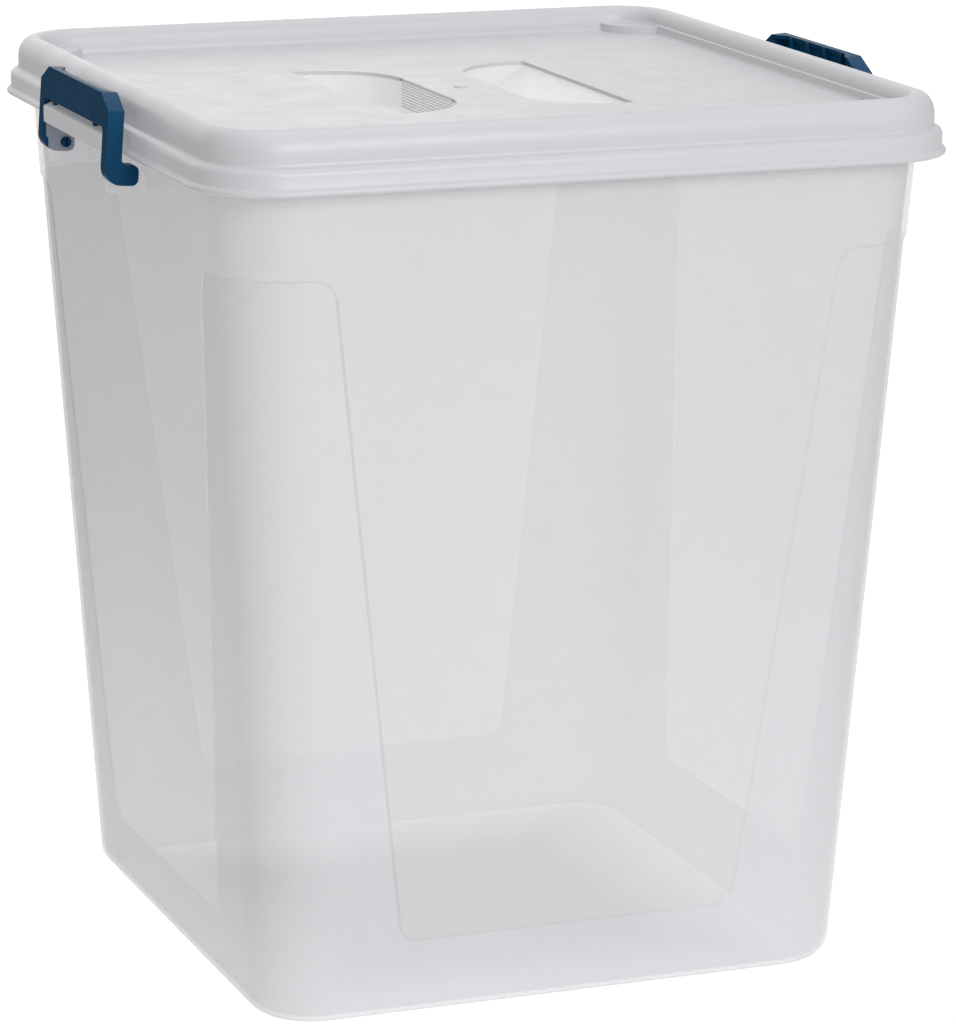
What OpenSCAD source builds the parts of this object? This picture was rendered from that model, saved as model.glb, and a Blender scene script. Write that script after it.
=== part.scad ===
// Tall square storage box in translucent polypropylene: a tapered tub, a beaded lid with two
// finger scoops, and two clip handles that swing on snap-in stub pins at the left and right rim.
// Millimetres, base on z = 0, front face towards -Y, clips on the -X and +X sides.

/* [Tub] */
// outer width of the tub at the floor
base_w = 340; // [300:1:360]
// how far each wall leans out per millimetre of height
draft = 0.061; // [0.02:0.001:0.1]
// height of the tub's upper edge, just above the flange that carries the lid
tub_h = 469; // [440:0.5:480]
// vertical corner radius at the floor
corner_bot = 38; // [25:0.5:45]
// vertical corner radius at the upper edge
corner_top = 43; // [30:0.5:50]
// radius between the walls and the floor
foot_r = 13; // [6:0.5:18]
// wall thickness at the frosted corners
wall = 1.8; // [1.2:0.1:3]
// floor thickness
floor_t = 2.6; // [2:0.1:4]
// how far the clear band and windows stand proud of the frosted corners
proud = 1.4; // [0.5:0.1:2]
// lower edge of the clear band that runs round under the lid
band_z = 410.4; // [390:0.2:430]
// half width of each clear window where it meets the band
win_top = 141.7; // [120:0.1:150]
// half width of each clear window at its lower edge
win_bot = 96; // [80:0.5:110]
// height of the windows' lower edge above the table
win_z = 44.6; // [30:0.2:70]
// corner radius of the windows
win_r = 12; // [4:0.5:20]

/* [Rim] */
// half width of the flange that the lid rests on
flange_h = 205.5; // [203:0.1:206]
// upper face of the flange
flange_z = 467.6; // [460:0.1:468]
// thickness of the flange
flange_t = 2.4; // [1.5:0.1:3]

/* [Lid] */
// distance of the lid's corner centres from the middle
lid_c = 165.4; // [155:0.2:170]
// upper face of the flat panel
panel_z = 475; // [470:0.5:480]
// thickness of the flat panel
panel_t = 2; // [1.5:0.1:3]
// radius of the low pads in the panel's corners
pad_r = 26; // [10:0.5:30]
// height that the lid is lifted in the drawing, 0 is closed
lift = 0; // [0:1:140]

/* [Finger scoops] */
// half width of the bar between the two scoops
bar_h = 19.5; // [12:0.5:25]
// distance of each scoop's straight outer edge from the middle
scoop_out = 70; // [60:0.5:85]
// half length of each scoop's outer edge
scoop_len = 82; // [70:0.5:110]
// radius of the scoops' round ends
scoop_r = 43; // [30:0.5:60]
// depth of the scoops at the bar
scoop_d = 17; // [10:0.5:25]
// length of the grip ribs on each bar side
rib_len = 78; // [50:1:90]
// number of grip ribs on each bar side
rib_n = 9; // [5:1:12]

/* [Clip handles] */
// overall length of each clip
clip_len = 128.8; // [100:0.2:140]
// length of the clip's upper edge between its chamfers
clip_top_len = 100; // [80:1:120]
// height of the grip plate's lower edge above the hinge axis
plate_z = 24; // [20:0.5:28]
// width of each leg along the rim
leg_w = 8.4; // [6:0.1:12]
// distance of the hinge axis from the middle of the box
pin_x = 211; // [205:0.5:216]
// height of the hinge axis
pin_z = 446.8; // [440:0.2:450]
// radius of the snap-in stub pins
pin_r = 2.8; // [2:0.1:3.5]
// running clearance of the stub pins in the lugs
pin_gap = 0.06; // [0.03:0.01:0.1]
// outer radius of the curled top of the strip between the legs, about the hinge axis
apron_r = 23.3; // [22:0.1:23.4]
// lean of the closed clip towards the lid, in degrees
lean = 4; // [0:0.5:8]
// swing of both clips in the drawing, 0 is closed
swing = 0; // [0:1:150]

/* [Hidden] */
eps = 0.01;
half0 = base_w / 2;
leg_in = clip_len / 2 - leg_w;
lug_out = leg_in - 0.35;
lug_t = 2.6;
clear_pp = [0.86, 0.89, 0.92, 0.5];
milky_pp = [0.80, 0.83, 0.88, 0.75];
navy = [0.05, 0.20, 0.33];

function half_at(z) = half0 + draft * z;
function corner_at(z) = corner_bot + (corner_top - corner_bot) * z / tub_h;

// ---------------------------------------------------------------- tub

// rounded square of half width h and corner radius r, one thin slice at height z
module slice(h, r, z) {
  translate([0, 0, z]) linear_extrude(eps) hull()
    for (x = [-1, 1], y = [-1, 1]) translate([x * (h - r), y * (h - r)]) circle(r, $fn = 48);
}

// solid tapered block: grow is the distance outside the frosted skin, lo and hi its ends
module tapered(grow, lo, hi, fillet) {
  hull() {
    slice(half_at(hi) + grow, corner_at(hi) + grow, hi - eps);
    for (a = [0, 22.5, 45, 67.5, 90])
      slice(half_at(lo + fillet) + grow - fillet * (1 - sin(a)),
            corner_at(lo) + grow - fillet * (1 - sin(a)), lo + fillet * (1 - cos(a)));
  }
}

// distance from a window corner to where its rounding starts, and the lean of its sides
function win_lean() = atan((win_top - win_bot) / (band_z - win_z));
function win_cut() = win_r / tan((90 + win_lean()) / 2);

// outline of one clear window hanging from the band, with rounded corners all round
module window_outline() {
  c = win_cut();
  l = win_lean();
  polygon([[-win_bot + c, win_z], [win_bot - c, win_z],
    [win_bot + c * sin(l), win_z + c * cos(l)], [win_top, band_z], [win_top, band_z + 2],
    [-win_top, band_z + 2], [-win_top, band_z], [-win_bot - c * sin(l), win_z + c * cos(l)]]);
  for (s = [-1, 1]) {
    translate([s * (win_bot - c), win_z + win_r]) circle(win_r, $fn = 64);
    difference() {
      polygon([[s * (win_top - 5), band_z + 2], [s * (win_top + c), band_z + 2],
        [s * (win_top + c), band_z], [s * (win_top + c - 1), band_z - 1],
        [s * (win_top - c * sin(l)), band_z - c * cos(l)], [s * (win_top - 9), band_z - 8]]);
      translate([s * (win_top + c), band_z - win_r]) circle(win_r, $fn = 64);
    }
  }
}

// one window plate on the front wall, leaning with the wall
module window_plate() {
  translate([0, -half0, 0]) rotate([atan(draft), 0, 0])
    rotate([90, 0, 0]) translate([0, 0, -0.9]) linear_extrude(0.9 + proud - 0.06)
      window_outline();
}

// closed rounded-square ring with a drawn section, corner centres at distance c
module ring(c) {
  for (a = [0, 90, 180, 270]) rotate([0, 0, a]) {
    translate([0, c, 0]) rotate([90, 0, 0]) linear_extrude(2 * c) children(0);
    translate([c, c, 0]) rotate_extrude(angle = 90, $fn = 96) translate([-c, 0]) children(0);
  }
}

module flange_section() {
  translate([192, flange_z - flange_t]) square([flange_h - 192, flange_t]);
}

// one lug beside each clip leg: it hangs under the lid's lip and rises outside it as a horn
module lug_plate() {
  difference() {
    translate([0, lug_out, 0]) rotate([90, 0, 0]) linear_extrude(lug_t) {
      polygon([[197, 436], [217.2, 436], [220.2, 439], [220.2, 455.9], [197, 455.9]]);
      translate([217.2, 439]) circle(3, $fn = 32);
      translate([213, 450]) square([8.4, 14]);
    }
    translate([pin_x, 0, pin_z]) rotate([90, 0, 0])
      cylinder(r = pin_r + pin_gap, h = 400, center = true, $fn = 48);
  }
}

// the two lugs of one side, joined by the apron that hangs between the clip's legs
module bracket() {
  lug_plate();
  mirror([0, 1, 0]) lug_plate();
  translate([0, lug_out + 0.1, 0]) rotate([90, 0, 0]) linear_extrude(2 * lug_out + 0.2) {
    translate([220.4, 458.4]) square([2.2, 8]);
    // the strip's top curls inwards round the hinge axis, clear of the clip's swing
    translate([pin_x, pin_z]) difference() {
      circle(apron_r, $fn = 192);
      circle(apron_r - 1.8, $fn = 192);
      translate([-40, -40]) square([80, 58.4]);
      translate([-40, -40]) square([42.4, 80]);
      translate([11.6, -40]) square([40, 80]);
    }
  }
}

module tub() {
  color(clear_pp) {
    difference() {
      union() {
        tapered(0, 0, tub_h, foot_r);
        hull() {
          slice(half_at(band_z) + proud, corner_at(band_z) + proud, band_z);
          slice(half_at(tub_h) + proud, corner_at(tub_h) + proud, tub_h - eps);
        }
        ring(lid_c) flange_section();
      }
      tapered(-wall, floor_t, tub_h + 30, foot_r - wall);
    }
    for (a = [0, 90, 180, 270]) rotate([0, 0, a]) window_plate();
    bracket();
    mirror([1, 0, 0]) bracket();
    // moulding gate mark in the middle of the floor
    translate([0, 0, floor_t - 0.2]) cylinder(r = 4, h = 0.9, $fn = 32);
  }
}

// ---------------------------------------------------------------- lid

// section of the lid's edge: lip, second tier, bead, inner wall and the panel's border
module lid_section() {
  polygon([
    [206.7, 456.2], [210.3, 456.2], [211.2, 456.8], [211.6, 457.9], [211.3, 459.0], [210.4, 459.8],
    [209.7, 460.3], [209.4, 461.1], [209.4, 466.8], [209.1, 468.3], [208.3, 469.5], [207.1, 470.3],
    [205.7, 470.8], [205.1, 471.4], [204.9, 472.4], [204.9, 478.0], [204.5, 480.9], [203.4, 483.8],
    [201.6, 486.3], [199.1, 488.1], [196.4, 488.9], [193.8, 488.4], [191.7, 486.8], [190.4, 484.4],
    [189.9, 482.2], [189.7, 480.6], [188.8, 480.0], [188.4, 475.9], [187.9, 475.1], [187.2, 475.0],
    [180.0, 475.0], [180.0, 473.0], [189.6, 473.0], [190.3, 473.6], [190.7, 479.0], [191.4, 480.0],
    [191.6, 482.2], [192.2, 484.4], [193.8, 486.2], [196.4, 486.9], [198.8, 486.0], [200.6, 484.4],
    [202.1, 481.9], [202.8, 479.3], [202.9, 477.2], [202.9, 470.0], [203.4, 469.1], [204.4, 468.5],
    [206.4, 468.1], [207.1, 467.5], [207.3, 466.4], [207.3, 461.0], [206.7, 459.6]
  ]);
}

// plan of one scoop, grown by g: straight outer edge, round ends, short straight bar side
module scoop_plan(g) {
  intersection() {
    union() {
      translate([bar_h - g, -scoop_len + scoop_r])
        square([scoop_out - bar_h + 2 * g, 2 * (scoop_len - scoop_r)]);
      translate([bar_h + scoop_r, -scoop_len - g]) square([60, 2 * scoop_len + 2 * g]);
      for (s = [-1, 1]) translate([bar_h + scoop_r, s * (scoop_len - scoop_r)])
        circle(scoop_r + g, $fn = 96);
    }
    translate([0, -200]) square([scoop_out + g, 400]);
  }
}

// side view of the space above a scoop's floor, dropped by t: flat, then a smooth ramp outwards
module scoop_side(t) {
  flat = 28;
  run = scoop_out - flat;
  rise = scoop_d - 2.2;
  r = (run * run + rise * rise) / (2 * rise);
  intersection() {
    union() {
      translate([-20, panel_z - scoop_d - t]) square([flat + 20, 60]);
      translate([flat, panel_z - scoop_d + r]) circle(r + t, $fn = 256);
    }
    translate([-20, panel_z - scoop_d - 5]) square([120, scoop_d + 10]);
  }
}

module scoop_space(g, t, top) {
  intersection() {
    translate([0, 0, 440]) linear_extrude(top - 440) scoop_plan(g);
    translate([0, 150, 0]) rotate([90, 0, 0]) linear_extrude(300) scoop_side(t);
  }
}

module lid() {
  color(milky_pp) translate([0, 0, lift]) {
    ring(lid_c) lid_section();
    difference() {
      union() {
        translate([-181, -181, panel_z - panel_t]) cube([362, 362, panel_t]);
        for (s = [0, 1]) mirror([s, 0, 0]) scoop_space(1.8, 1.8, panel_z);
      }
      for (s = [0, 1]) mirror([s, 0, 0]) scoop_space(0, 0, panel_z + 4);
    }
    // grip ribs along the bar
    for (s = [-1, 1], i = [0 : rib_n - 1])
      translate([s * (bar_h - 0.1), rib_len / 2, panel_z - 2.4 - i * 1.6]) rotate([90, 0, 0])
        cylinder(r = 0.6, h = rib_len, $fn = 24);
    // low quarter-round pads in the panel's corners
    for (a = [0, 90, 180, 270]) rotate([0, 0, a]) intersection() {
      translate([188.6, 188.6, 474.4]) cylinder(r = pad_r, h = 5.1, $fn = 96);
      translate([0, 0, 474]) linear_extrude(6) {
        translate([lid_c, lid_c]) circle(189.2 - lid_c, $fn = 96);
        translate([160, 160]) square([29.2, lid_c - 160]);
        translate([160, 160]) square([lid_c - 160, 29.2]);
      }
    }
    // moulding gate nub in the middle of the panel
    translate([0, 0, panel_z - 0.2]) cylinder(r = 3.6, h = 0.9, $fn = 32);
  }
}

// ---------------------------------------------------------------- clip handles

// side view of one leg with its J-shaped foot; x is outwards, the hinge axis is the origin
module leg_side() {
  for (z = [-2, 2]) translate([-2.4, z]) circle(3.5, $fn = 48);
  translate([-5.9, -2]) square([9, 4]);
  translate([-2.4, -5.5]) square([6.5, 11]);
  translate([3.8, 3]) square([8.9, 38.8]);
  intersection() {
    translate([3.7, 3.5]) circle(9, $fn = 64);
    translate([3.4, -6]) square([10, 10]);
  }
  // fillet between the foot and the leg
  difference() {
    translate([0.8, 5]) square([3.5, 3.5]);
    translate([0.8, 8.5]) circle(3, $fn = 48);
  }
}

// inner edge of the upper flange: thin along the plate, widening in an S towards the corners
function ease(t) = t <= 0 ? 0 : t >= 1 ? 1 : t * t * (3 - 2 * t);
function rim_edge(y) = 8.6 + 0.5 * (1 - y * y / 2500) - 4.8 * ease((abs(y) - 36) / 14);

// front outline with chamfered upper corners
module clip_front() {
  l = clip_len / 2;
  t = clip_top_len / 2;
  polygon([[-l, -10], [l, -10], [l, 33.9], [t, 41.8], [-t, 41.8], [-l, 33.9]]);
}

// one clip about its hinge axis, outwards along +X
module clip() {
  // the two legs with their feet, and the solid corners above them
  intersection() {
    union() {
      for (s = [-1, 1]) translate([0, s * (leg_in + leg_w / 2) + leg_w / 2, 0])
        rotate([90, 0, 0]) linear_extrude(leg_w) leg_side();
      for (s = [0, 1]) mirror([0, s, 0]) translate([3.8, 49.4, 24.6]) cube([8.9, 8, 20]);
    }
    rotate([90, 0, 90]) translate([0, 0, -20]) linear_extrude(40) clip_front();
  }
  // the grip plate: skin, upper flange with a bowed inner edge, lower flange and ribs
  translate([10.2, -leg_in - 1, plate_z]) cube([2.5, 2 * leg_in + 2, 10]);
  intersection() {
    translate([10.2, -leg_in - 1, 33]) cube([2.5, 2 * leg_in + 2, 8.8]);
    rotate([90, 0, 90]) translate([0, 0, -20]) linear_extrude(40) clip_front();
  }
  translate([0, 0, 39.6]) linear_extrude(2.2) polygon(concat([[11.8, -50], [11.8, 50]],
    [for (y = [50 : -2 : -50]) [rim_edge(y), y]]));
  translate([7, -leg_in - 1, plate_z]) cube([4, 2 * leg_in + 2, 2]);
  for (y = [-33, -11, 11, 33]) translate([7.6, y - 0.9, plate_z + 1]) cube([4, 1.8, 40.5 - plate_z]);
  // rounded upper corners of the opening between the legs
  for (s = [0, 1]) mirror([0, s, 0]) difference() {
    translate([9.4, leg_in - 3, plate_z - 3]) cube([3.3, 3.5, 3.5]);
    translate([6, leg_in - 3, plate_z - 3]) rotate([0, 90, 0]) cylinder(r = 3, h = 8, $fn = 48);
  }
  // two half-round nubs on the plate's lower edge
  for (y = [-38.5, 38.5]) translate([10.4, y, plate_z + 0.3]) rotate([0, 90, 0])
    cylinder(r = 2.3, h = 2.1, $fn = 32);
  // split snap-in stub pins
  for (s = [0, 1]) mirror([0, s, 0]) difference() {
    union() {
      translate([0, leg_in + 1, 0]) rotate([90, 0, 0]) cylinder(r = pin_r, h = 5.2, $fn = 48);
      translate([0, lug_out - lug_t - 0.35, 0]) rotate([90, 0, 0])
        cylinder(r1 = pin_r + 0.35, r2 = pin_r - 0.5, h = 1.5, $fn = 48);
    }
    translate([-0.4, leg_in - 6, -5]) cube([0.8, 4.4, 10]);
  }
}

module placed_clip() {
  color(navy) translate([pin_x, 0, pin_z]) rotate([0, -lean + swing, 0]) clip();
}

module clip_right() { placed_clip(); }
module clip_left() { mirror([1, 0, 0]) placed_clip(); }

tub();
lid();
clip_left();
clip_right();
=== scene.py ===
import math

import bmesh
import bpy
import numpy as np
from mathutils import Matrix, Vector


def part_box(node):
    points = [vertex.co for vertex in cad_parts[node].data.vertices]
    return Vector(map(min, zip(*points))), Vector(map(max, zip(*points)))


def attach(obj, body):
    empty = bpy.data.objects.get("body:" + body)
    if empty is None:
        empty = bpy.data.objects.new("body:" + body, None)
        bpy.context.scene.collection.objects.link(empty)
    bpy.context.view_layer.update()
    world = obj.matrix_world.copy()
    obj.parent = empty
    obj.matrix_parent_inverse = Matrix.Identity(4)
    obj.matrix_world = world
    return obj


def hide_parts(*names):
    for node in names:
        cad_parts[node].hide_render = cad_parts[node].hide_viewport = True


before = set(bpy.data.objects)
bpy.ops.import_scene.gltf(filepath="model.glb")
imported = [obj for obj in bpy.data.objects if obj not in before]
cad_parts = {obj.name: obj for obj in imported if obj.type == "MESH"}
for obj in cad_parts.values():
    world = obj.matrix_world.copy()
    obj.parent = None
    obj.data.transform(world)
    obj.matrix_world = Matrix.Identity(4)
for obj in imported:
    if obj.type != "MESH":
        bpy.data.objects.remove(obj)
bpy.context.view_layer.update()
MM = 0.001

# ------------------------------------------------------------------ sizes shared with the CAD, in mm
TUB_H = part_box("tub")[1].z / MM
BASE, DRAFT = 170.0, 0.061                  # half width at the bottom, and how it grows with height
R_BOT, R_TOP, R_TOP_Z = 38.0, 43.0, 469.0   # corner radius at the bottom, and at the height R_TOP_Z
FOOT, WALL, FLOOR = 13.0, 1.8, 2.6          # foot radius, wall and floor thickness
PROUD = 1.4                                 # how far the clear zone stands out
BAND = 410.4                                # height where the clear band starts
WIN_Z, WIN_TOP, WIN_BOT = 44.6, 141.7, 96.0     # the window's lower edge, and its half widths
WIN_R, BAND_R = 9.0, 10.5                   # radii of its lower corners, and where it meets the band
FLANGE_C, FLANGE_H = 165.4, 205.5           # corner centre and half width of the rim flange
FLANGE_Z0, FLANGE_Z1 = 465.2, 467.6         # its lower and upper faces
PIN_X, PIN_Z = 211.0, 446.8                 # hinge axis of the clips
APRON_Z, APRON_R = 458.3, 14.8              # the strip between the lugs: above this, and this far from the axis
PANEL_SPLIT = 472.95                        # just under the lower face of the lid's panel
SCOOP_X, SCOOP_Y, SCOOP_TOP = 80.0, 100.0, 474.5    # space that holds both scoops and nothing else
RIB_X0, RIB_X1, RIB_Y, RIB_Z = 19.55, 20.2, 41.0, 458.5     # space that holds the grip bar's ribs
CLIP_RIB = 11.0                             # half the spacing of the four ribs behind a clip's plate

LEAN = math.atan((WIN_TOP - WIN_BOT) / (BAND - WIN_Z))


def half_at(z):
    return BASE + DRAFT * z


def corner_at(z):
    return R_BOT + (R_TOP - R_BOT) * z / R_TOP_Z


def edge_at(z):
    """Half width of the window at a height."""
    return float(WIN_BOT + (WIN_TOP - WIN_BOT) * (np.clip(z, WIN_Z, BAND) - WIN_Z) / (BAND - WIN_Z))


def clear_distance(x, z):
    """How far (mm) a point of a wall is inside the clear zone: the band, or the window under it."""
    side = (np.abs(x) - (WIN_BOT + math.tan(LEAN) * (z - WIN_Z))) * math.cos(LEAN)
    low = WIN_Z - z
    window = (np.minimum(-WIN_R, np.maximum(side, low))
              + np.hypot(np.maximum(WIN_R + side, 0), np.maximum(WIN_R + low, 0)))
    band = BAND - z
    both = (np.maximum(BAND_R, np.minimum(band, window))
            - np.hypot(np.maximum(BAND_R - band, 0), np.maximum(BAND_R - window, 0)))
    return -both


def smooth(t):
    t = np.clip(t, 0, 1)
    return t * t * (3 - 2 * t)


def link_mesh(me, materials, material_index, sharp):
    """Put a mesh in the scene, smooth except at edges sharper than the angle, in degrees."""
    me.materials.clear()
    for m in materials:
        me.materials.append(m)
    me.polygons.foreach_set("material_index", np.array(material_index, np.int32))
    me.polygons.foreach_set("use_smooth", np.ones(len(me.polygons), bool))
    me.set_sharp_from_angle(angle=math.radians(sharp))
    me.update()
    ob = bpy.data.objects.new(me.name, me)
    bpy.context.scene.collection.objects.link(ob)
    return ob


# ------------------------------------------------------------------ material nodes
def principled(name, color, rough, alpha=1.0, **sockets):
    m = bpy.data.materials.new(name)
    m.use_nodes = True
    b = m.node_tree.nodes["Principled BSDF"]
    b.inputs["Base Color"].default_value = (*color, 1)
    b.inputs["Roughness"].default_value = rough
    b.inputs["Alpha"].default_value = alpha
    b.inputs["Emission Color"].default_value = (1, 1, 1, 1)
    for k, v in sockets.items():
        b.inputs[k.replace("_", " ")].default_value = v
    return m, m.node_tree, b


def noise(nt, scale, detail=3.0, rough=0.5, stretch=(1, 1, 1)):
    tc = nt.nodes.new("ShaderNodeTexCoord")
    mp = nt.nodes.new("ShaderNodeMapping")
    mp.inputs["Scale"].default_value = stretch
    n = nt.nodes.new("ShaderNodeTexNoise")
    n.inputs["Scale"].default_value = scale
    n.inputs["Detail"].default_value = detail
    n.inputs["Roughness"].default_value = rough
    nt.links.new(tc.outputs["Object"], mp.inputs["Vector"])
    nt.links.new(mp.outputs["Vector"], n.inputs["Vector"])
    return n.outputs["Fac"]


def ranged(nt, value, lo, hi, a=0.0, b=1.0):
    """The value, with its range from a to b mapped to lo to hi and held there outside it."""
    r = nt.nodes.new("ShaderNodeMapRange")
    r.inputs["From Min"].default_value = a
    r.inputs["From Max"].default_value = b
    r.inputs["To Min"].default_value = lo
    r.inputs["To Max"].default_value = hi
    nt.links.new(value, r.inputs["Value"])
    return r.outputs["Result"]


def math_node(nt, op, *values):
    n = nt.nodes.new("ShaderNodeMath")
    n.operation = op
    for socket, v in zip(n.inputs, values):
        if isinstance(v, (int, float)):
            socket.default_value = v
        else:
            nt.links.new(v, socket)
    return n.outputs["Value"]


def split_axes(nt, vector):
    n = nt.nodes.new("ShaderNodeSeparateXYZ")
    nt.links.new(vector, n.inputs["Vector"])
    return n.outputs


def coordinates(nt):
    return nt.nodes.new("ShaderNodeTexCoord").outputs


def tinted(nt, b, value, c1, c2):
    m = nt.nodes.new("ShaderNodeMix")
    m.data_type = "RGBA"
    m.inputs["A"].default_value = (*c1, 1)
    m.inputs["B"].default_value = (*c2, 1)
    nt.links.new(value, m.inputs["Factor"])
    nt.links.new(m.outputs["Result"], b.inputs["Base Color"])


def bump(nt, b, value, strength, distance=0.0002):
    u = nt.nodes.new("ShaderNodeBump")
    u.inputs["Strength"].default_value = strength
    u.inputs["Distance"].default_value = distance
    nt.links.new(value, u.inputs["Height"])
    nt.links.new(u.outputs["Normal"], b.inputs["Normal"])


# ------------------------------------------------------------------ materials
MIDDLE = (0.3, 0.7)     # the part of a noise's range that its values really use


def plastic(name, c1, c2, alpha, spread, rough, grain=0.0, grain_scale=40, spec=0.5, inner=0.0):
    """Translucent polypropylene: cloudy tint, uneven see-through and a fine moulded grain.
    inner is an even painted glow: painted light that stands in for the light scattered inside the thin wall."""
    m, nt, b = principled(name, c1, rough, alpha, Specular_IOR_Level=spec, IOR=1.49, Emission_Strength=inner)
    cloud = noise(nt, 3.0, 4, 0.55, (1, 1, 0.45))
    tinted(nt, b, ranged(nt, cloud, 0, 1, *MIDDLE), c1, c2)
    nt.links.new(ranged(nt, cloud, alpha - spread, alpha + spread, *MIDDLE), b.inputs["Alpha"])
    fine = noise(nt, grain_scale, 2, 0.5)
    nt.links.new(ranged(nt, fine, rough - 0.05, rough + 0.06, *MIDDLE), b.inputs["Roughness"])
    if grain:
        bump(nt, b, fine, grain)
    return m


def navy_plastic():
    """The clips' opaque plastic, with faint lighter lines painted on the plate over the four ribs behind it: a
    painted highlight for the sink marks there.
    The broad outer faces are moulded matt, the edges and flanges stay glossy."""
    m, nt, b = principled("pp_navy", (0.004, 0.036, 0.085), 0.36, Specular_IOR_Level=0.18)
    fine = noise(nt, 700, 2)
    nt.links.new(ranged(nt, fine, 0.34, 0.44, *MIDDLE), b.inputs["Roughness"])
    at = coordinates(nt)
    outer = math_node(nt, "ABSOLUTE", split_axes(nt, at["Normal"])["X"])
    along = math_node(nt, "ADD", split_axes(nt, at["Object"])["Y"], CLIP_RIB * MM)
    rib = math_node(nt, "PINGPONG", math_node(nt, "ABSOLUTE", along), CLIP_RIB * MM)
    # painted highlight: lighter lines on the plate's broad outer face over the ribs behind it
    sink_highlight = math_node(nt, "MULTIPLY", ranged(nt, rib, 0.45, 0.0, 0.0002, 0.0009),
                     ranged(nt, outer, 0.0, 1.0, 0.9, 0.97))
    cloud = ranged(nt, noise(nt, 25, 3), 0.0, 0.3, *MIDDLE)
    tinted(nt, b, math_node(nt, "MAXIMUM", sink_highlight, cloud), (0.0020, 0.040, 0.096), (0.0060, 0.066, 0.140))
    bump(nt, b, fine, 0.04)
    nt.links.new(ranged(nt, outer, 0.09, 0.008, 0.75, 0.96), b.inputs["Specular IOR Level"])
    return m


MAT_CLEAR = plastic("pp_clear", (0.58, 0.58, 0.592), (0.56, 0.56, 0.575),
                    alpha=0.36, spread=0.012, rough=0.16, grain_scale=30)
MAT_FROST = plastic("pp_frosted", (0.575, 0.575, 0.602), (0.55, 0.55, 0.577),
                    alpha=0.46, spread=0.012, rough=0.42, grain=0.05, grain_scale=600)
# The lid, scoop, rib and lug plastics below glow evenly (inner): painted light standing in for light scattered
# inside the plastic, not a lamp.
MAT_LID = plastic("pp_lid", (0.355, 0.355, 0.375), (0.345, 0.345, 0.365),
                  alpha=0.95, spread=0.005, rough=0.32, spec=0.3, inner=0.155)
# The scoops get a lighter copy of the lid plastic that glows twice as much: painted light that lifts the deep
# scoops out of their shade. It is also more see-through.
MAT_SCOOP_PAINTED_LIGHT = plastic("pp_lid_scoop_painted_light", (0.50, 0.50, 0.51), (0.48, 0.48, 0.49),
                    alpha=0.40, spread=0.012, rough=0.3, spec=0.3, inner=0.32)
# A dark copy of the lid plastic for the steep sides of the grip bar's ribs: painted shade between the ribs.
MAT_RIB_SHADE = plastic("pp_lid_rib_shade", (0.16, 0.16, 0.17), (0.15, 0.15, 0.16),
                  alpha=0.60, spread=0.01, rough=0.4, spec=0.2, inner=0.10)
MAT_LUG = plastic("pp_lug", (0.54, 0.59, 0.64), (0.52, 0.57, 0.62),
                  alpha=0.17, spread=0.01, rough=0.3, spec=0.2, inner=0.22)
MAT_NAVY = navy_plastic()

# ------------------------------------------------------------------ tub
STEP, STEP_N = 0.6, 35                      # spacing and number of the close columns at the window's edge
EDGE = [round(STEP * (i - STEP_N // 2), 3) for i in range(STEP_N)]
EDGE_ZONE = 10.6                            # half width of the zone that they fill
ARC = 20                                    # steps round a corner
RISE = 1.3                                  # width over which the clear zone steps out


def columns(c, e):
    """Positions along a whole side, for a straight half length c and a window edge at e."""
    e = min(e, c - EDGE_ZONE)
    pos = [0.0] + [(e - EDGE_ZONE) * t for t in (0.14, 0.28, 0.42, 0.56, 0.7, 0.84, 0.96)]
    pos += [e + o for o in EDGE]
    pos += [e + EDGE_ZONE + (c - e - EDGE_ZONE) * t for t in (0.3, 0.65)]
    pos += [c]
    return np.array([-p for p in pos[:0:-1]] + pos)


def ring(h, r, z, relief):
    """One closed loop of the rounded square, with the clear zone's step added where relief is true.
    The second result tells how far each point is inside the clear zone."""
    c = h - r
    xs = columns(c, edge_at(z))
    th = np.radians(np.linspace(0, 90, ARC + 1)[1:-1])
    px = np.concatenate([xs, c + r * np.sin(th)])
    py = np.concatenate([np.full(len(xs), -h), -c - r * np.cos(th)])
    if relief:
        nx = np.concatenate([np.zeros(len(xs)), np.sin(th)])
        ny = np.concatenate([np.full(len(xs), -1.0), -np.cos(th)])
        inside = clear_distance(np.concatenate([xs, c + r * th]), np.full(len(px), float(z)))
        out = PROUD * smooth((inside + RISE / 2) / RISE)
        px, py = px + nx * out, py + ny * out
    else:
        inside = np.full(len(px), 5.0 if z > BAND else -5.0)
    pts = []
    for k in range(4):
        ca, sa = math.cos(k * math.pi / 2), math.sin(k * math.pi / 2)
        pts.append(np.stack([ca * px - sa * py, sa * px + ca * py, np.full(len(px), float(z))], 1))
    return np.concatenate(pts) * MM, np.tile(inside, 4)


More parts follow.
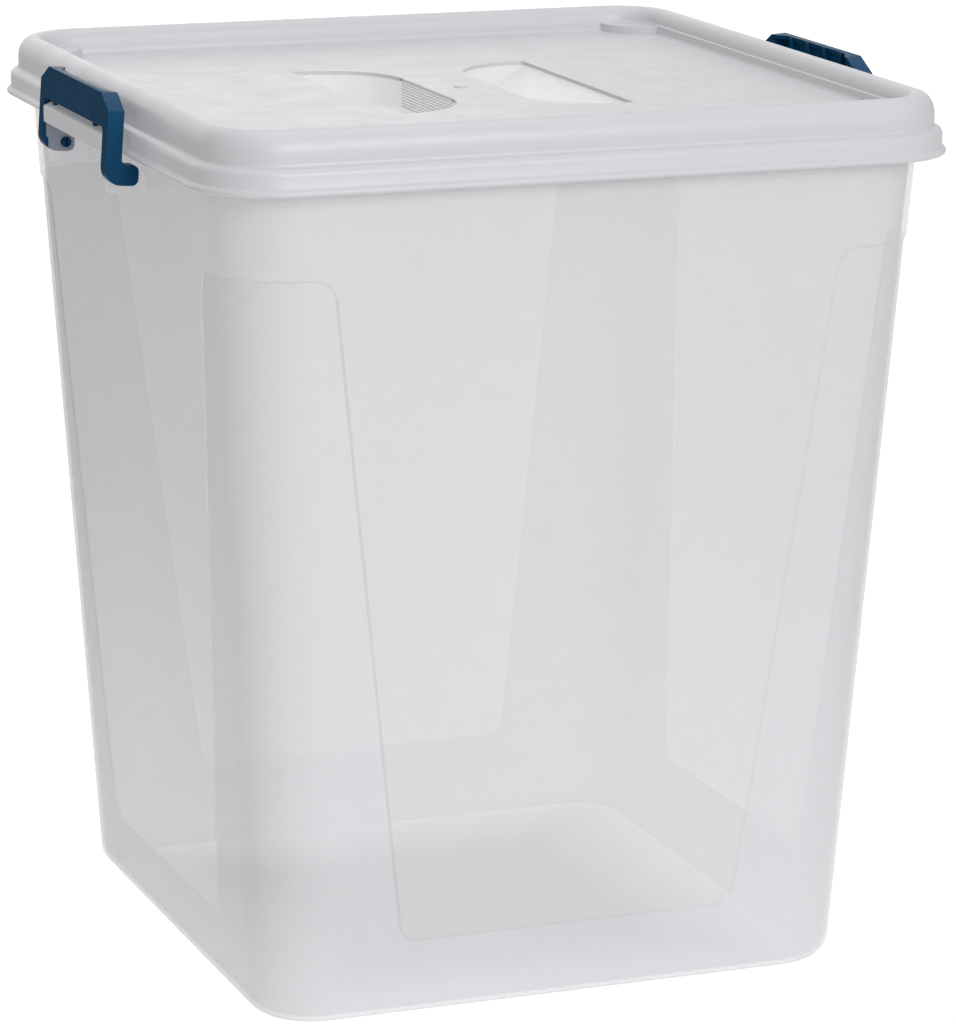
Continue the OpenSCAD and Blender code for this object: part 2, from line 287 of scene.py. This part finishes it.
def build_tub():
    rings = []
    # outer skin: the foot, then the wall, with close rings at the window's lower edge and at the band
    for a in np.radians([0, 12, 24, 36, 48, 60, 72, 82, 90]):
        inset = FOOT * (1 - math.sin(a))
        rings.append((half_at(FOOT) - inset, corner_at(FOOT) - inset, FOOT * (1 - math.cos(a)), False))
    heights = [17, 22, 28, 34, 39] + list(np.arange(42.0, 57.0, STEP)) + list(np.linspace(58, 396, 27))
    heights += list(np.arange(397.2, 412.6, STEP)) + [415, 422, 430, 440, 452, 460, FLANGE_Z0]
    for z in heights:
        rings.append((half_at(z), corner_at(z), z, True))
    # rim flange, then the rim above it
    for dh, z in ((-0.25, FLANGE_Z0), (0, FLANGE_Z0 + 0.3), (0, FLANGE_Z1 - 0.3), (-0.25, FLANGE_Z1)):
        rings.append((FLANGE_H + dh, FLANGE_H + dh - FLANGE_C, z, False))
    out, r = half_at(TUB_H) + PROUD, corner_at(TUB_H) + PROUD
    rim = ((0.0, FLANGE_Z1), (0.0, TUB_H - 0.5), (-0.2, TUB_H - 0.1), (-0.6, TUB_H),
           (-2.6, TUB_H), (-3.0, TUB_H - 0.2), (-3.2, TUB_H - 0.6))
    for dh, z in rim:
        rings.append((out + dh, r + dh, z, False))
    # inner skin: the wall, then the rounded floor
    inner_from = len(rings)
    for z in np.linspace(TUB_H - 9, FLOOR + FOOT - WALL + 3, 16):
        rings.append((half_at(z) - WALL, corner_at(z) - WALL, z, False))
    floor_r = FOOT - WALL
    for a in np.radians([90, 78, 66, 54, 42, 30, 18, 8, 0]):
        inset = WALL + floor_r * (1 - math.sin(a))
        rings.append((half_at(FLOOR + floor_r) - inset, corner_at(FLOOR + floor_r) - inset,
                      FLOOR + floor_r * (1 - math.cos(a)), False))
    loops = [ring(*q) for q in rings]
    n = len(loops[0][0])
    clear, frosted = 0, 1
    faces, mat = [], []
    for i in range(len(rings) - 1):
        below, above = loops[i][1], loops[i + 1][1]
        for j in range(n):
            k = (j + 1) % n
            faces.append((i * n + j, i * n + k, (i + 1) * n + k, (i + 1) * n + j))
            in_clear = below[j] + below[k] + above[j] + above[k] > 0
            mat.append(clear if i >= inner_from or in_clear else frosted)
    last = (len(rings) - 1) * n
    faces += [tuple(reversed(range(n))), tuple(last + j for j in range(n))]
    mat += [frosted, clear]
    me = bpy.data.meshes.new("tub_shell")
    me.from_pydata([tuple(v) for v in np.concatenate([p for p, _ in loops])], [], faces)
    return link_mesh(me, [MAT_CLEAR, MAT_FROST], mat, 42)


# ------------------------------------------------------------------ pieces made from the CAD's own shapes
def cad_copy(node, name, mats, sharp, keep=(), split=None):
    """The CAD shape as a mesh of its own, welded and smoothed, cut back to the side of each plane in keep.
    The height split, in mm, adds an edge all round without cutting anything away."""
    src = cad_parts[node]
    me = src.data.copy()
    me.name = name
    me.transform(src.matrix_world)
    bm = bmesh.new()
    bm.from_mesh(me)
    bmesh.ops.remove_doubles(bm, verts=bm.verts, dist=2e-6)
    for co, no in keep:
        bmesh.ops.bisect_plane(bm, geom=bm.verts[:] + bm.edges[:] + bm.faces[:],
                               plane_co=co, plane_no=no, clear_inner=True)
    bmesh.ops.dissolve_limit(bm, angle_limit=math.radians(0.2), verts=bm.verts, edges=bm.edges)
    if split is not None:
        bmesh.ops.bisect_plane(bm, geom=bm.verts[:] + bm.edges[:] + bm.faces[:],
                               plane_co=(0, 0, split * MM), plane_no=(0, 0, 1))
    bm.normal_update()
    bm.to_mesh(me)
    bm.free()
    if me.has_custom_normals:
        me.attributes.remove(me.attributes["custom_normal"])
    return link_mesh(me, mats, np.zeros(len(me.polygons)), sharp)


def bevel(ob, width):
    m = ob.modifiers.new("edge", "BEVEL")
    m.width = width * MM
    m.segments = 2
    m.limit_method = "ANGLE"
    m.angle_limit = math.radians(35)
    m.use_clamp_overlap = True
    m.harden_normals = True


tub = build_tub()
# the lugs and the strip between them: the CAD tub outside its wall and under its flange
for s, name in ((-1, "bracket_left"), (1, "bracket_right")):
    outside_wall = (Vector((s * (BASE + PROUD + 0.06) * MM, 0, 0)), Vector((s, 0, -DRAFT)).normalized())
    under_flange = (Vector((s * (FLANGE_H + 0.2) * MM, 0, (FLANGE_Z0 - 0.1) * MM)),
                    Vector((s, 0, -1)).normalized())
    bracket = cad_copy("tub", name, [MAT_LUG, MAT_LID], 40, (outside_wall, under_flange))
    for p in bracket.data.polygons:
        q = p.center / MM
        p.material_index = int(q.z > APRON_Z and math.hypot(abs(q.x) - PIN_X, q.z - PIN_Z) > APRON_R)
    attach(bracket, "tub")
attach(tub, "tub")
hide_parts("tub")

lid = cad_copy("lid", "lid_shell", [MAT_LID, MAT_SCOOP_PAINTED_LIGHT, MAT_RIB_SHADE], 40, split=PANEL_SPLIT)
for p in lid.data.polygons:
    q = p.center / MM
    if abs(q.x) < SCOOP_X and abs(q.y) < SCOOP_Y and q.z < SCOOP_TOP:
        if RIB_X0 < abs(q.x) < RIB_X1 and abs(q.y) < RIB_Y and q.z > RIB_Z:
            # the ribs' steep sides take the dark copy (painted shade), their tops the scoops' lighter copy
            # (painted light)
            p.material_index = 2 if p.normal.z < 0.3 else 1
        else:
            # faces of the scoops below the panel take the lighter, glowing copy: painted light
            p.material_index = int(q.z < PANEL_SPLIT - 0.05)
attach(lid, "lid")
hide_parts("lid")

for side in ("left", "right"):
    handle = cad_copy("clip_" + side, "handle_" + side, [MAT_NAVY], 35)
    bevel(handle, 0.35)
    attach(handle, "clip_" + side)
    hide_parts("clip_" + side)

# ------------------------------------------------------------------ floor: a light table, sizes in metres; its glow is painted light, a glowing strip along the view with a painted shadow right under the box
AZ, EL, ROLL = math.radians(-21.18), math.radians(13.76), math.radians(0.46)    # the view's direction
FLOOR_HALF = 25
GLOW, DIM, FADE = 0.97, 0.30, 0.42          # glow of the strip, glow far beside it, and width of the fade
STRIP_MID, STRIP_HALF, STRIP_GROW = 0.016, 0.29, 0.11   # the strip's middle, half width, and widening
STRIP_START = -0.27                         # its near end
# The patch right under the box glows less: a painted shadow under the box.
PATCH_HALF, PATCH_SLOPE = 0.166, 5.0        # the patch right under the box, which glows less

scene = bpy.context.scene
me = bpy.data.meshes.new("floor")
me.from_pydata([(x * FLOOR_HALF, y * FLOOR_HALF, 0) for x, y in ((-1, -1), (1, -1), (1, 1), (-1, 1))],
               [], [(0, 1, 2, 3)])
floor = bpy.data.objects.new("floor", me)
scene.collection.objects.link(floor)
paint, ft, fb = principled("floor_paint_and_glow", (0.30, 0.30, 0.30), 0.9, Specular_IOR_Level=0.0)
on_floor = coordinates(ft)["Object"]
turned = ft.nodes.new("ShaderNodeMapping")
turned.inputs["Rotation"].default_value = (0, 0, -AZ)
ft.links.new(on_floor, turned.inputs["Vector"])
strip = split_axes(ft, turned.outputs["Vector"])
plain = split_axes(ft, on_floor)
across = math_node(ft, "ABSOLUTE", math_node(ft, "SUBTRACT", strip["X"], STRIP_MID))
reach = math_node(ft, "MULTIPLY_ADD", strip["Y"], STRIP_GROW, STRIP_HALF)
off_middle = math_node(ft, "MAXIMUM", math_node(ft, "ABSOLUTE", plain["X"]),
                       math_node(ft, "ABSOLUTE", plain["Y"]))
# painted shadow: the floor's glow drops right under the box
under = math_node(ft, "MULTIPLY", math_node(ft, "SUBTRACT", PATCH_HALF, off_middle), PATCH_SLOPE)
beyond = math_node(ft, "MAXIMUM", math_node(ft, "SUBTRACT", across, reach),
                   math_node(ft, "SUBTRACT", STRIP_START, strip["Y"]))
beyond = math_node(ft, "MAXIMUM", beyond, under)
ft.links.new(ranged(ft, beyond, GLOW, DIM, 0.0, FADE), fb.inputs["Emission Strength"])
me.materials.append(paint)

# ------------------------------------------------------------------ light
SKY = ((0.0, 0.14), (0.38, 0.97), (0.62, 0.98), (1.0, 0.16))    # place from left to right, and strength
world = bpy.data.worlds.new("studio")
scene.world = world
world.use_nodes = True
wt = world.node_tree
sky = wt.nodes["Background"].inputs
sky["Color"].default_value = (1, 1, 1, 1)
fall = wt.nodes.new("ShaderNodeValToRGB")
fall.color_ramp.interpolation = "EASE"
while len(fall.color_ramp.elements) < len(SKY):
    fall.color_ramp.elements.new(0.5)
for el, (at, v) in zip(fall.color_ramp.elements, SKY):
    el.position = at
    el.color = (v, v, v, 1)
from_left = math_node(wt, "MULTIPLY_ADD", split_axes(wt, coordinates(wt)["Generated"])["X"], 0.5, 0.5)
wt.links.new(from_left, fall.inputs["Fac"])
wt.links.new(fall.outputs["Color"], sky["Strength"])


def area(name, at, to, size, power):
    li = bpy.data.lights.new(name, "AREA")
    li.shape = "RECTANGLE"
    li.size, li.size_y = size
    li.energy = power
    ob = bpy.data.objects.new(name, li)
    ob.location = at
    ob.rotation_euler = (Vector(to) - Vector(at)).to_track_quat("-Z", "Y").to_euler()
    scene.collection.objects.link(ob)


area("key", at=(0.2, -3.0, 1.45), to=(0, 0, 0.25), size=(1.9, 1.6), power=68)
area("back", at=(-0.3, 2.6, 1.7), to=(0, 0, 0.3), size=(3.2, 2.0), power=7)
area("top", at=(0.2, 0.3, 3.0), to=(0, 0, 0.4), size=(1.8, 1.8), power=17)

# ------------------------------------------------------------------ camera
AIM = Vector((14.86, 5.36, 230.4)) * MM     # the point in the middle of the view
DISTANCE = 2.59725                          # metres
SENSOR, LENS = 36, 160.76426                # mm

back = Vector((math.sin(AZ) * math.cos(EL), -math.cos(AZ) * math.cos(EL), math.sin(EL)))
level = (-back).cross(Vector((0, 0, 1))).normalized()
upright = level.cross(-back)
cam = bpy.data.cameras.new("camera")
cam.sensor_width = SENSOR
cam.lens = LENS
cam.clip_start, cam.clip_end = 0.05, 100
camera = bpy.data.objects.new("camera", cam)
place = Matrix((level * math.cos(ROLL) + upright * math.sin(ROLL),
                upright * math.cos(ROLL) - level * math.sin(ROLL), back)).transposed().to_4x4()
place.translation = AIM + back * DISTANCE
camera.matrix_world = place
scene.collection.objects.link(camera)
scene.camera = camera

scene.view_settings.view_transform = "Standard"
scene.cycles.transparent_max_bounces = 48
scene.cycles.max_bounces = 8
scene.cycles.sample_clamp_indirect = 4.0
scene.cycles.denoising_input_passes = "RGB_ALBEDO"
scene.cycles.denoising_prefilter = "ACCURATE"
scene.cycles.caustics_reflective = False
scene.cycles.caustics_refractive = False
